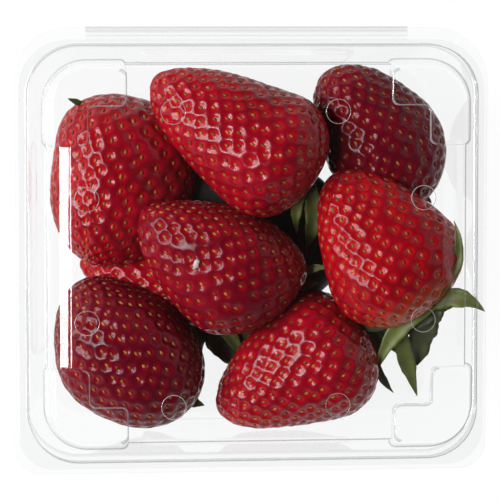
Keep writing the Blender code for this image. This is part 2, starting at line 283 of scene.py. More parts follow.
# Each kind of sheet: its haze, its share of gloss seen straight on, and what it lets through
PLASTICS = {
    "lid_plastic": (0.0015, 0.032, LID_PANE),
    # The bend kinds go on the folds and the vents' rolled edges: their darker tint is painted shade, and the
    # strong haze of lid_bend and vent_rim is a painted pale reflection
    "lid_bend": (0.16, 0.06, BEND_PAINTED_SHADE),
    "tub_plastic": (0.003, 0.04, PANE),
    "tub_bend": (0.01, 0.1, SOFT_BEND_PAINTED_SHADE),
    "hinge_bend": (0.01, 0.08, SOFT_BEND_PAINTED_SHADE),
    "vent_rim": (0.16, 0.04, BEND_PAINTED_SHADE),
    "flange_plastic": (0.002, 0.03, FLANGE_PANE),
}
EDGE_GLOSS, GLOSS_POWER = 0.42, 4.0

# Each skin: its deepest and brightest red, its colour by the calyx, its brighter red in the pits (a painted
# glow of light through the skin), and its shine
SKINS = {
    "skin_dark": (
        (0.07, 0.0006, 0.006), (0.14, 0.0008, 0.009), (0.12, 0.006, 0.008), (0.18, 0.001, 0.005), 0.17,
    ),
    "skin_deep": (
        (0.095, 0.0005, 0.006), (0.19, 0.0008, 0.009), (0.2, 0.012, 0.012), (0.28, 0.0015, 0.005), 0.15,
    ),
    "skin_ripe": (
        (0.15, 0.0005, 0.006), (0.27, 0.0008, 0.01), (0.26, 0.01, 0.014), (0.4, 0.002, 0.005), 0.25,
    ),
    "skin_bright": (
        (0.18, 0.0006, 0.006), (0.3, 0.001, 0.006), (0.32, 0.08, 0.012), (0.46, 0.004, 0.004), 0.2,
    ),
}
# The berries whose skin isn't skin_ripe
SKIN_OF = {
    "right": "skin_bright",
    "back_right": "skin_dark",
    "front_left": "skin_dark",
    "middle": "skin_deep",
}

# Greens in the order of the crowns' tones, and the other dull surfaces: their darker and lighter colour. The
# dark and light greens are partly the leaves' own tone and partly painted shade and painted light for leaves
# in shadow and in the light.
GREENS = {
    "leaf_mid": ((0.05, 0.062, 0.01), (0.13, 0.15, 0.03)),
    "leaf_dark_painted_shade": ((0.022, 0.027, 0.007), (0.062, 0.07, 0.016)),
    "leaf_light_painted_light": ((0.09, 0.11, 0.022), (0.21, 0.24, 0.06)),
}
SCUFF_TONES = ((0.26, 0.17, 0.16), (0.56, 0.49, 0.47))
SHADE_TONES = ((0.005, 0.0006, 0.0008), (0.013, 0.001, 0.0012))


def clear_plastic(name, haze, gloss_share, tints):
    """Thin clear sheet with soft gloss and a faint uneven haze. Its bends draw grey lines with a darker tint
    and more haze: painted shade and painted reflection.
    """
    mat = material(name)
    facing = node(mat, "ShaderNodeLayerWeight", Blend=0.5)
    tint = ramp(mat, [(place, (level, level + 0.004, level + 0.006)) for place, level in tints])
    clear = node(mat, "ShaderNodeBsdfTransparent")
    place = node(mat, "ShaderNodeTexCoord")
    wave = node(mat, "ShaderNodeTexNoise", Scale=38.0, Detail=2.0)
    cloud = node(mat, "ShaderNodeTexNoise", Scale=90.0, Detail=3.0)
    bump = node(mat, "ShaderNodeBump", Strength=0.1, Distance=0.0005)
    gloss = node(mat, "ShaderNodeBsdfGlossy", Roughness=0.04, Color=(1, 1, 1, 1))
    veil = node(mat, "ShaderNodeBsdfDiffuse", Color=(0.95, 0.96, 0.97, 1))
    amount = node(mat, "ShaderNodeMapRange")
    amount.inputs["From Min"].default_value = 0.3
    amount.inputs["From Max"].default_value = 0.75
    amount.inputs["To Min"].default_value = haze * 0.5
    amount.inputs["To Max"].default_value = haze * 1.5
    steep = node(mat, "ShaderNodeMath", operation="POWER")
    steep.inputs[1].default_value = GLOSS_POWER
    share = node(mat, "ShaderNodeMath", operation="MULTIPLY_ADD")
    share.inputs[1].default_value = EDGE_GLOSS
    share.inputs[2].default_value = gloss_share
    hazed = node(mat, "ShaderNodeMixShader")
    glossed = node(mat, "ShaderNodeMixShader")
    ray = node(mat, "ShaderNodeLightPath")
    lets_light = node(mat, "ShaderNodeBsdfTransparent", Color=(0.96, 0.965, 0.965, 1))
    lit = node(mat, "ShaderNodeMixShader")
    out = node(mat, "ShaderNodeOutputMaterial")
    wire(
        mat,
        (place.outputs["Object"], wave.inputs["Vector"]),
        (place.outputs["Object"], cloud.inputs["Vector"]),
        (wave.outputs["Fac"], bump.inputs["Height"]),
        (bump.outputs["Normal"], gloss.inputs["Normal"]),
        (facing.outputs["Facing"], tint.inputs["Fac"]),
        (tint.outputs["Color"], clear.inputs["Color"]),
        (cloud.outputs["Fac"], amount.inputs["Value"]),
        (amount.outputs["Result"], hazed.inputs["Fac"]),
        (clear.outputs["BSDF"], hazed.inputs[1]),
        (veil.outputs["BSDF"], hazed.inputs[2]),
        (facing.outputs["Facing"], steep.inputs[0]),
        (steep.outputs["Value"], share.inputs[0]),
        (share.outputs["Value"], glossed.inputs["Fac"]),
        (hazed.outputs["Shader"], glossed.inputs[1]),
        (gloss.outputs["BSDF"], glossed.inputs[2]),
        (ray.outputs["Is Shadow Ray"], lit.inputs["Fac"]),
        (glossed.outputs["Shader"], lit.inputs[1]),
        (lets_light.outputs["BSDF"], lit.inputs[2]),
        (lit.outputs["Shader"], out.inputs["Surface"]),
    )
    return mat


def berry_skin(name, deep, bright, shoulder, glow, shine):
    """Ripe skin: red in uneven patches, paler by the calyx, and wet, with the pits painted a brighter red as
    a painted glow of light through the skin.
    """
    mat = material(name)
    place = node(mat, "ShaderNodeTexCoord")
    patches = node(mat, "ShaderNodeTexNoise", Scale=70.0, Detail=3.0, Roughness=0.6)
    fine = node(mat, "ShaderNodeTexNoise", Scale=900.0, Detail=2.0)
    red = ramp(mat, ((0.3, deep), (0.7, bright)))
    pit = node(mat, "ShaderNodeAttribute", attribute_name="pit")
    along = node(mat, "ShaderNodeAttribute", attribute_name="along")
    paler = ramp(mat, ((0.0, (1, 1, 1)), (0.06, (0.6, 0.6, 0.6)), (0.2, (0.0, 0.0, 0.0))))
    by_calyx = node(mat, "ShaderNodeMix", data_type="RGBA")
    pit_painted_glow = node(mat, "ShaderNodeMix", data_type="RGBA")
    pit_glow_mask = ramp(mat, ((0.1, (0.0, 0.0, 0.0)), (0.75, (0.75, 0.75, 0.75))))
    bump = node(mat, "ShaderNodeBump", Strength=0.15, Distance=0.0002)
    skin = node(mat, "ShaderNodeBsdfPrincipled", Roughness=0.2)
    skin.inputs["Specular IOR Level"].default_value = shine
    skin.inputs["Subsurface Weight"].default_value = 0.25
    skin.inputs["Subsurface Radius"].default_value = (1.0, 0.12, 0.08)
    skin.inputs["Subsurface Scale"].default_value = 0.0018
    out = node(mat, "ShaderNodeOutputMaterial")
    colours = [s for s in by_calyx.inputs if s.type == "RGBA"]
    pits = [s for s in pit_painted_glow.inputs if s.type == "RGBA"]
    colours[1].default_value = (*shoulder, 1.0)
    # The pits' colour is a painted glow: brighter red standing for light shining through the skin
    pits[1].default_value = (*glow, 1.0)
    wire(
        mat,
        (place.outputs["Object"], patches.inputs["Vector"]),
        (place.outputs["Object"], fine.inputs["Vector"]),
        (patches.outputs["Fac"], red.inputs["Fac"]),
        (along.outputs["Fac"], paler.inputs["Fac"]),
        (paler.outputs["Color"], by_calyx.inputs["Factor"]),
        (red.outputs["Color"], colours[0]),
        ([s for s in by_calyx.outputs if s.type == "RGBA"][0], pits[0]),
        (pit.outputs["Fac"], pit_glow_mask.inputs["Fac"]),
        (pit_glow_mask.outputs["Color"], pit_painted_glow.inputs["Factor"]),
        ([s for s in pit_painted_glow.outputs if s.type == "RGBA"][0], skin.inputs["Base Color"]),
        (fine.outputs["Fac"], bump.inputs["Height"]),
        (bump.outputs["Normal"], skin.inputs["Normal"]),
        (skin.outputs["BSDF"], out.inputs["Surface"]),
    )
    return mat


def seed_coat():
    mat = material("seed_coat")
    place = node(mat, "ShaderNodeTexCoord")
    noise = node(mat, "ShaderNodeTexNoise", Scale=420.0, Detail=1.0)
    colour = ramp(mat, ((0.3, (0.1, 0.022, 0.005)), (0.5, (0.2, 0.06, 0.012)), (0.68, (0.3, 0.115, 0.025))))
    shell = node(mat, "ShaderNodeBsdfPrincipled", Roughness=0.45)
    shell.inputs["Specular IOR Level"].default_value = 0.25
    out = node(mat, "ShaderNodeOutputMaterial")
    wire(
        mat,
        (place.outputs["Object"], noise.inputs["Vector"]),
        (noise.outputs["Fac"], colour.inputs["Fac"]),
        (colour.outputs["Color"], shell.inputs["Base Color"]),
        (shell.outputs["BSDF"], out.inputs["Surface"]),
    )
    return mat


def dull_surface(name, dark, light):
    """A dull surface that varies between two colours, for the leaves, the scuff and the core."""
    mat = material(name)
    place = node(mat, "ShaderNodeTexCoord")
    noise = node(mat, "ShaderNodeTexNoise", Scale=220.0, Detail=4.0, Roughness=0.6)
    colour = ramp(mat, ((0.25, dark), (0.75, light)))
    bump = node(mat, "ShaderNodeBump", Strength=0.4, Distance=0.0003)
    blade = node(mat, "ShaderNodeBsdfPrincipled", Roughness=0.5)
    blade.inputs["Subsurface Weight"].default_value = 0.15
    blade.inputs["Subsurface Radius"].default_value = (0.3, 0.6, 0.1)
    blade.inputs["Subsurface Scale"].default_value = 0.0006
    out = node(mat, "ShaderNodeOutputMaterial")
    wire(
        mat,
        (place.outputs["Object"], noise.inputs["Vector"]),
        (noise.outputs["Fac"], colour.inputs["Fac"]),
        (noise.outputs["Fac"], bump.inputs["Height"]),
        (colour.outputs["Color"], blade.inputs["Base Color"]),
        (bump.outputs["Normal"], blade.inputs["Normal"]),
        (blade.outputs["BSDF"], out.inputs["Surface"]),
    )
    return mat


def waves(points, seed, scale, amount):
    """Gentle seeded unevenness: a few sine waves in random directions, at each point."""
    draw = np.random.default_rng(seed)
    total = np.zeros(len(points))
    for _ in range(6):
        direction = draw.normal(size=3)
        direction /= np.linalg.norm(direction)
        length = scale * draw.uniform(0.7, 1.5)
        total += np.sin(points @ direction * 2 * math.pi / length + draw.uniform(0, 6.28))
    return total * amount / 3


def berry_surface(sizes, shares, angles):
    """Points of a berry's smooth form on a grid of shares of its length and angles round it."""
    calyx, tip, right, left, thick, widest, blunt_calyx, blunt_tip, seed = sizes
    calyx, tip = np.array(calyx), np.array(tip)
    axis = tip - calyx
    along = axis / np.linalg.norm(axis)
    across = np.cross(along, (0.0, 0.0, 1.0))
    across /= np.linalg.norm(across)
    up = np.cross(across, along)
    reach = np.where(
        shares < widest,
        (np.abs(widest - shares) / widest) ** blunt_calyx,
        (np.abs(shares - widest) / (1 - widest)) ** blunt_tip,
    )
    size = np.sqrt(np.clip(1 - reach, 0.0, 1.0))
    blend = 0.5 + 0.5 * np.cos(angles)
    width = left + (right - left) * smoothstep(0.0, 1.0, blend)
    points = calyx + shares[..., None] * axis
    points = points + across * (width * size * np.cos(angles))[..., None]
    points = points + up * (thick * size * np.sin(angles))[..., None]
    flat = points.reshape(-1, 3)
    outward = flat - (calyx + 0.45 * axis)
    outward /= np.linalg.norm(outward, axis=1)[:, None] + 1e-9
    flat = flat + outward * waves(flat, seed, 26.0, 0.5)[:, None]
    return flat.reshape(points.shape)


def grid_normals(points):
    """Outward normals of a grid that closes round its second axis."""
    du = np.gradient(points, axis=0)
    dv = np.roll(points, -1, axis=1) - np.roll(points, 1, axis=1)
    normals = np.cross(dv, du)
    normals /= np.linalg.norm(normals, axis=2)[..., None] + 1e-9
    centre = points.mean(axis=(0, 1))
    if ((points - centre) * normals).sum() < 0:
        normals = -normals
    return normals


def seed_places(sizes):
    """Where the seeds sit: a golden-angle spiral from calyx to tip, even all over but closer near the tip."""
    steps = 400
    shares = 0.5 - 0.5 * np.cos(np.linspace(0.03, 0.97, steps) * math.pi)
    angles = np.linspace(0, 2 * math.pi, 90, endpoint=False)
    grid = berry_surface(sizes, np.repeat(shares[:, None], 90, 1), np.repeat(angles[None], steps, 0))
    rings = np.linalg.norm(np.roll(grid, -1, axis=1) - grid, axis=2).sum(axis=1)
    stride = np.linalg.norm(np.diff(grid, axis=0), axis=2).mean(axis=1)
    area = (rings[1:] + rings[:-1]) / 2 * stride
    spacing = SEED_SPACING * (1.0 - 0.14 * smoothstep(0.3, 0.9, (shares[1:] + shares[:-1]) / 2))
    count = area / (0.866 * spacing**2)
    total = np.concatenate([[0], np.cumsum(count)])
    amount = int(total[-1])
    draw = np.random.default_rng(sizes[8] + 100)
    index = np.arange(amount) + 0.5
    share = np.interp(index, total, shares)
    angle = (index * math.pi * (3 - math.sqrt(5)) + draw.normal(0, 0.035, amount)) % (2 * math.pi)
    return share, angle


def build_berry(name, sizes, skin):
    rows, columns = FULL_GRID
    shares = 0.5 - 0.5 * np.cos(np.linspace(0.004, 0.996, rows) * math.pi)
    angles = np.linspace(0, 2 * math.pi, columns, endpoint=False)
    grid = berry_surface(sizes, np.repeat(shares[:, None], columns, 1), np.repeat(angles[None], rows, 0))
    normals = grid_normals(grid)
    share, angle = seed_places(sizes)
    seeds = berry_surface(sizes, share, angle)
    flat = grid.reshape(-1, 3)
    nearest = np.full(len(flat), 99.0)
    for start in range(0, len(flat), 4000):
        block = flat[start : start + 4000]
        nearest[start : start + 4000] = np.sqrt(((block[:, None] - seeds[None]) ** 2).sum(axis=2)).min(axis=1)
    pit = 1 - smoothstep(0.2, PIT_RADIUS, nearest)
    sink = PIT_DEPTH * pit - SWELL * smoothstep(SWELL_FROM, SWELL_TO, nearest)
    depth = sink.reshape(rows, columns)
    grid = grid - normals * depth[..., None]
    points = [tuple(p) for p in grid.reshape(-1, 3)]
    faces = loft_faces(columns, rows)
    first, last = len(points), len(points) + 1
    points += [tuple(grid[0].mean(axis=0)), tuple(grid[-1].mean(axis=0))]
    top = (rows - 1) * columns
    for i in range(columns):
        j = (i + 1) % columns
        faces.append((first, j, i))
        faces.append((last, top + i, top + j))
    made = mesh_object(name, points, faces, skin)
    shape = bmesh.new()
    shape.from_mesh(made.data)
    bmesh.ops.recalc_face_normals(shape, faces=shape.faces)
    shape.to_mesh(made.data)
    shape.free()
    for attribute, values in (("pit", pit), ("along", np.repeat(shares[:, None], columns, 1).reshape(-1))):
        layer = made.data.attributes.new(attribute, "FLOAT", "POINT")
        layer.data.foreach_set("value", np.concatenate([values, [values[0], values[-1]]]).astype(np.float32))
    # Each seed lies in its pit, pointing along the berry
    step = 0.01
    ahead = berry_surface(sizes, np.clip(share + step, 0, 1), angle)
    beside = berry_surface(sizes, share, angle + step)
    along = ahead - seeds
    along /= np.linalg.norm(along, axis=1)[:, None] + 1e-9
    side = beside - seeds
    out = np.cross(side, along)
    out /= np.linalg.norm(out, axis=1)[:, None] + 1e-9
    centre = seeds.mean(axis=0)
    out *= np.sign(((seeds - centre) * out).sum(axis=1))[:, None]
    return seeds - out * (PIT_DEPTH - SEED_PROUD), along, out


def build_seeds(places, mat):
    """All the seeds as one piece: small flattened drops, each with its own size."""
    draw = np.random.default_rng(5)
    around = SEED_SIDES
    points, faces = [], []
    for centres, alongs, outs in places:
        for centre, along, out in zip(centres, alongs, outs):
            side = np.cross(along, out)
            length = SEED_SIZE[0] * draw.uniform(*SEED_SPREAD)
            width = SEED_SIZE[1] * draw.uniform(*SEED_SPREAD)
            height = SEED_SIZE[2]
            start = len(points)
            for level, size in ((-0.62, 0.75), (0.1, 1.0), (0.7, 0.6)):
                for i in range(around):
                    angle = 2 * math.pi * i / around
                    point = centre + along * length * level
                    point = point + side * width * size * math.cos(angle)
                    points.append(tuple(point + out * height * size * math.sin(angle)))
            points.append(tuple(centre - along * length))
            points.append(tuple(centre + along * length * 1.15))
            faces += loft_faces(around, 3, start)
            for i in range(around):
                j = (i + 1) % around
                faces.append((start + 3 * around, start + j, start + i))
                faces.append((start + 3 * around + 1, start + 2 * around + i, start + 2 * around + j))
    return mesh_object("seeds", points, faces, mat)


def blade(points, faces, start, bend, tip, half_width, seed, taper=3.5, curl=0.15, thickness=0.32):
    """Adds one crown leaf: a thin creased blade on a curve, pointed at its tip, with a wavy edge."""
    stations, across_steps = 18, 6
    start, bend, tip = np.array(start, float), np.array(bend, float), np.array(tip, float)
    draw = np.random.default_rng(seed)
    phase, beats = draw.uniform(0, 6.28), draw.uniform(2.0, 3.2)
    base = len(points)
    up_hint = np.array((0.0, 0.0, 1.0))
    for station in range(stations):
        t = station / (stations - 1)
        centre = (1 - t) ** 2 * start + 2 * t * (1 - t) * bend + t**2 * tip
        direction = 2 * (1 - t) * (bend - start) + 2 * t * (tip - bend)
        direction /= np.linalg.norm(direction) + 1e-9
        across = np.cross(direction, up_hint)
        across /= np.linalg.norm(across) + 1e-9
        normal = np.cross(across, direction)
        belly = 0.35 + 0.65 * math.sin(math.pi * min(0.12 + t * 0.8, 1))
        width = half_width * max(0.02, belly * (1 - t**taper) ** 0.8)
        width *= 1 + 0.07 * math.sin(17 * t + phase) + 0.04 * math.sin(41 * t)
        for step in range(across_steps + 1):
            offset = 2 * step / across_steps - 1
            lift = 0.22 * half_width * abs(offset) + curl * offset * offset * t * half_width
            lift += 0.12 * half_width * math.sin(beats * 2 * math.pi * t + phase + offset) * abs(offset)
            middle = centre + across * width * offset + normal * lift * min(1.0, width / half_width + 0.2)
            thin = thickness * (1 - 0.6 * abs(offset)) / 2
            points.append(tuple(middle + normal * thin))
            points.append(tuple(middle - normal * thin))
    row = 2 * (across_steps + 1)
    for station in range(stations - 1):
        a, b = base + station * row, base + (station + 1) * row
        for step in range(across_steps):
            i = 2 * step
            faces.append((a + i, a + i + 2, b + i + 2, b + i))
            faces.append((a + i + 1, b + i + 1, b + i + 3, a + i + 3))
        last = 2 * across_steps
        faces.append((a, b, b + 1, a + 1))
        faces.append((a + last, a + last + 1, b + last + 1, b + last))
    for end in (base, base + (stations - 1) * row):
        for step in range(across_steps):
            i = end + 2 * step
            faces.append((i, i + 1, i + 3, i + 2))


# Crown leaves that the photo shows, by crown: start, bend, tip, half-width, tone (0 mid, 1 dark with painted
# shade,
# 2 light with painted light), and for a blunt one how late it narrows
CROWNS = {
    "right_crown": (
        ((46.6, -11.6, 36.5), (55.0, -3.4, 39.5), (51.2, 7.4, 38.0), 1.6, 0),
        ((44.5, -14.8, 32.5), (52.6, -9.5, 36.3), (59.6, -16.0, 36.2), 2.7, 0),
        ((48.9, -15.0, 30.0), (43.9, -19.5, 27.0), (44.6, -31.4, 21.0), 3.5, 1, 9.0),
        ((44.0, -13.5, 30.0), (50.4, -14.9, 30.5), (53.6, -13.9, 30.0), 2.2, 1),
        ((52.8, -11.6, 30.0), (46.2, -17.4, 28.5), (37.5, -24.4, 25.0), 2.6, 1),
        ((48.6, -13.6, 32.0), (36.0, -18.6, 31.0), (33.0, -33.0, 25.0), 2.5, 2),
        ((38.0, -19.6, 27.5), (40.6, -28.2, 25.0), (44.8, -39.5, 20.0), 2.4, 0),
    ),
    "front_middle_crown": (
        ((31.4, -26.0, 22.0), (34.0, -33.9, 23.0), (38.7, -38.7, 19.5), 1.3, 1),
        ((29.8, -18.7, 23.0), (34.4, -22.3, 24.0), (34.2, -35.1, 20.0), 2.4, 1),
        ((29.5, -21.0, 22.0), (35.9, -22.2, 23.0), (39.6, -28.4, 20.0), 2.6, 1),
        ((25.5, -18.5, 25.0), (30.4, -21.9, 27.0), (37.4, -20.6, 27.5), 1.2, 1),
    ),
    "back_middle_crown": (
        ((15.1, 16.2, 26.0), (11.3, 10.8, 25.5), (13.2, 3.0, 21.5), 1.6, 2),
        ((16.0, 15.6, 25.0), (18.9, 8.0, 23.5), (15.6, -1.5, 19.0), 2.5, 0),
        ((14.1, 12.7, 19.5), (17.4, 1.2, 19.5), (15.0, -7.6, 17.0), 2.8, 1),
        ((18.4, 34.0, 25.0), (20.8, 28.6, 26.5), (19.7, 21.2, 25.0), 1.0, 0),
    ),
    "middle_crown": (
        ((13.0, -8.4, 24.5), (16.2, -3.9, 28.0), (21.2, -5.6, 27.5), 1.1, 2),
        ((10.2, -12.8, 24.0), (6.4, -19.0, 24.5), (1.4, -22.6, 21.5), 1.4, 0),
        ((12.0, -11.0, 24.0), (14.5, -9.5, 24.0), (18.6, -9.5, 23.0), 1.6, 1),
    ),
    "front_left_crown": (
        ((-16.4, -39.6, 18.0), (-13.6, -40.3, 20.0), (-10.6, -41.4, 19.0), 1.5, 0),
        ((-16.2, -37.5, 17.0), (-13.4, -38.0, 18.0), (-12.0, -40.5, 17.0), 1.2, 1),
    ),
    "left_crown": (
        ((-9.0, -15.5, 12.5), (-6.7, -25.5, 15.0), (-1.6, -32.4, 9.5), 4.2, 1),
        ((-6.0, -15.0, 13.0), (-1.2, -21.8, 14.5), (3.4, -27.6, 10.5), 3.8, 1),
        ((-11.5, -16.5, 12.5), (-13.4, -23.1, 13.5), (-10.6, -30.4, 9.0), 2.7, 1),
        ((-7.0, -14.5, 13.5), (-4.5, -24.0, 16.0), (0.8, -29.8, 12.0), 2.2, 0),
    ),
    "back_left_crown": (((-40.8, 36.0, 19.0), (-43.8, 37.4, 21.0), (-45.6, 38.0, 21.0), 0.8, 1),),
    "back_right_crown": (((44.0, 13.8, 20.5), (46.0, 13.3, 22.0), (48.2, 10.6, 21.0), 1.2, 0),),
}


def build_crown(name, leaves, greens):
    """The leaves of one crown, a piece for each tone of green."""
    made = []
    for tone in sorted({leaf[4] for leaf in leaves}):
        points, faces = [], []
        for number, (start, bend, tip, half_width, own, *taper) in enumerate(leaves):
            if own == tone:
                blade(points, faces, start, bend, tip, half_width, 40 + number + len(name), *taper)
        made.append(mesh_object(f"{name}_{tone}", points, faces, greens[tone]))
    return made


def build_scuff(sizes, x, y, mat):
    """The pale scuff on the middle berry: a thin ragged patch that lies on its skin."""
    shares = np.repeat(np.linspace(0.05, 0.95, 160)[:, None], 160, 1)
    angles = np.repeat(np.linspace(0.0, math.pi, 160)[None], 160, 0)
    skin = berry_surface(sizes, shares, angles).reshape(-1, 3)
    draw = np.random.default_rng(71)
    around = 26
    points, faces = [], []
    for lift, size in ((0.05, 1.0), (0.22, 0.82)):
        for i in range(around):
            turn = 2 * math.pi * i / around
            ragged = size * draw.uniform(0.72, 1.2)
            px = x + ragged * (0.75 * math.cos(turn) + 0.35 * math.sin(turn))
            py = y + ragged * 1.5 * math.sin(turn)
            near = skin[np.argmin((skin[:, 0] - px) ** 2 + (skin[:, 1] - py) ** 2)]
            points.append((px, py, near[2] + lift))
    centre = skin[np.argmin((skin[:, 0] - x) ** 2 + (skin[:, 1] - y) ** 2)]
    points.append((x, y, centre[2] + 0.25))
    points.append((x, y, centre[2] - 0.2))
    faces += loft_faces(around, 2)
    for i in range(around):
        j = (i + 1) % around
        faces.append((2 * around, around + i, around + j))
        faces.append((2 * around + 1, j, i))
    return mesh_object("scuff", points, faces, mat)


def build_tub(mat, bent):
    """The tub as one formed sheet: rounded floor edge, walls with sunk panels, flange and turned-down lip."""
    levels = []
    for step in range(9):
        angle = math.radians(90 * step / 8)
        levels.append((TUB_EDGE * (1 - math.sin(angle)), TUB_UNDER + TUB_EDGE * (1 - math.cos(angle)), False))
    for z in np.linspace(TUB_WALL_START, FLANGE_TOP - 1.0, TUB_WALL_ROWS):
        levels.append((0.0, z, False))
    for step in range(6):
        angle = math.radians(90 * step / 5)
        rise = TUB_ROUNDING * math.sin(angle)
        levels.append((-TUB_ROUNDING * (1 - math.cos(angle)), FLANGE_TOP - 0.75 + rise, True))
    rings, bends = [], []
    for inset, z, bend in levels:
        share = z / FLANGE_TOP
        half = [low + (high - low) * share - inset for low, high in zip(TUB_FLOOR, TUB_MOUTH)]
        radius = TUB_RADII[0] + (TUB_RADII[1] - TUB_RADII[0]) * share - inset
        rings.append(even_ring(half[0], half[1], radius, z, side=96))
        bends.append(bend)
    edge_z = rings[-1][0][2]
    for inset, drop, bend in TUB_LIP:
        plan = (FLANGE[0] - inset, FLANGE[1] - inset, -FLANGE[1] + inset)
        rings.append(ring(*plan, FLANGE_RADII[0] - inset, FLANGE_RADII[1] - inset, edge_z - drop, side=96))
        bends.append(bend)
    points = np.array(rings)
    height = points[..., 2]
    for axis in (0, 1):
        along = points[..., 1 - axis]
        # How far outside the panel's rounded outline each point lies
        dx = np.abs(along) - (PANEL_HALF - PANEL_CORNER)
        dz = np.abs(height - (PANEL_BOTTOM + PANEL_TOP) / 2) - ((PANEL_TOP - PANEL_BOTTOM) / 2 - PANEL_CORNER)
        outside = np.hypot(np.maximum(dx, 0), np.maximum(dz, 0)) + np.minimum(np.maximum(dx, dz), 0)
        outside = outside - PANEL_CORNER
        share = smoothstep(0.0, 1.0, -outside / PANEL_EDGE)
        wall_half = TUB_FLOOR[axis] + (TUB_MOUTH[axis] - TUB_FLOOR[axis]) * height / FLANGE_TOP
        on_wall = (np.abs(points[..., axis]) > wall_half - 0.6) & (height < FLANGE_TOP - 2)
        points[..., axis] -= np.sign(points[..., axis]) * PANEL_SINK * share * on_wall
    count = points.shape[1]
    faces = loft_faces(count, points.shape[0])
    faces.append(tuple(range(count))[::-1])
    made = mesh_object("tub_shell", points.reshape(-1, 3).tolist(), faces, mat)
    made.data.materials.append(bent)
    # Faces between two bending levels take the bend material: a painted grey line of shade
    marks = []
    for number in range(len(faces) - 1):
        level = number // count
        marks.append(1 if bends[level] and bends[level + 1] else 0)
    made.data.polygons.foreach_set("material_index", marks + [0])
    made.data.set_sharp_from_angle(angle=math.radians(50))
    return made


def lug_outline(inset, inner, z, length):
    """The L-shaped outline of the back right lug, from its big outer corner round past the notch."""
    right, back = LUG[0] - inset, LUG[1] - inset
    radius = LUG_RADIUS - inset
    left, front = LUG[0] - length[0] + inner, LUG[1] - length[1] + inner
    notch_x, notch_y = LUG[0] - LUG_ARMS[0] + inner, LUG[1] - LUG_ARMS[1] + inner
    f = LUG_FILLET
    turns = (
        (right - radius, back - radius, radius, 0, 90, 14),
        (left + f, back - f, f, 90, 90, 6),
        (left + f, notch_y + f, f, 180, 90, 6),
        (notch_x - f, notch_y - f, f, 90, -90, 6),
        (notch_x + f, front + f, f, 180, 90, 6),
        (right - f, front + f, f, 270, 90, 6),
    )
    points = []
    for x, y, r, start, sweep, steps in turns:
        for step in range(steps + 1):
            angle = math.radians(start + sweep * step / steps)
            points.append((x + r * math.cos(angle), y + r * math.sin(angle), z))
    return points


def closed(name, rings, mirror=(1, 1), shift=(0.0, 0.0), mats=(), bends=None):
    """A closed loft. The faces between two levels that both bend take the second material, whose darker tint
    paints a grey line of shade.
    """
    count = len(rings[0])
    points = []
    for section in rings:
        points += [(x * mirror[0] + shift[0], y * mirror[1] + shift[1], z) for x, y, z in section]
    faces = loft_faces(count, len(rings))
    faces += [tuple(range(count)), tuple(range(len(points) - count, len(points)))]
    made = mesh_object(name, points, faces)
    for mat in mats:
        made.data.materials.append(mat)
    if bends:
        marks = []
        for i in range(len(faces) - 2):
            both = (bends[i // count], bends[i // count + 1])
            shows = "notch" not in both or NOTCH_FIRST <= i % count <= NOTCH_LAST
            marks.append(1 if all(both) and shows else 0)
        made.data.polygons.foreach_set("material_index", marks + [0, 0])
    shape = bmesh.new()
    shape.from_mesh(made.data)
    bmesh.ops.recalc_face_normals(shape, faces=shape.faces)
    shape.to_mesh(made.data)
    shape.free()
    return made


def boolean(target, others, operation):
    """Joins the others to the target or cuts them from it, and removes them."""
    for other in others:
        change = target.modifiers.new("Join", "BOOLEAN")
        change.object = other
        change.operation = operation
        change.solver = "MANIFOLD"
    graph = bpy.context.evaluated_depsgraph_get()
    mesh = bpy.data.meshes.new_from_object(target.evaluated_get(graph))
    target.modifiers.clear()
    target.data = mesh
    for other in others:
        bpy.data.objects.remove(other, do_unlink=True)


